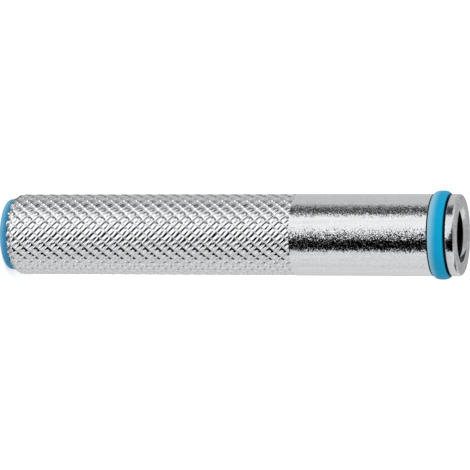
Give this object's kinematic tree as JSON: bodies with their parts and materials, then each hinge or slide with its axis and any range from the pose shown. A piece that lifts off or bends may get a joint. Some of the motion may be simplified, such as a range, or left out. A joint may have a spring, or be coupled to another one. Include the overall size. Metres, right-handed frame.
{
  "type": "internally threaded anchor sleeve",
  "caption": "Knurled steel anchor sleeve with an internal thread, a plastic centring ring near its mouth and a plastic end plug, set in masonry with resin mortar.",
  "frame": {"origin": "centre of the flat outer face of the end plug, which the sleeve stands on", "axes": "+Z along the sleeve's axis, from the end plug to the threaded mouth; +X and +Y are any two directions across it"},
  "size_m": [0.0162, 0.0162, 0.0864],
  "materials": {
    "zinc_plated_steel": "bright zinc plating with a fine grain",
    "ring_plastic": "smooth moulded plastic, cyan blue",
    "plug_plastic": "smooth moulded plastic, mid blue"
  },
  "bodies": {
    "root": {"sleeve": "zinc_plated_steel", "centring_ring": "ring_plastic", "end_plug": "plug_plastic"}
  },
  "joints": []
}
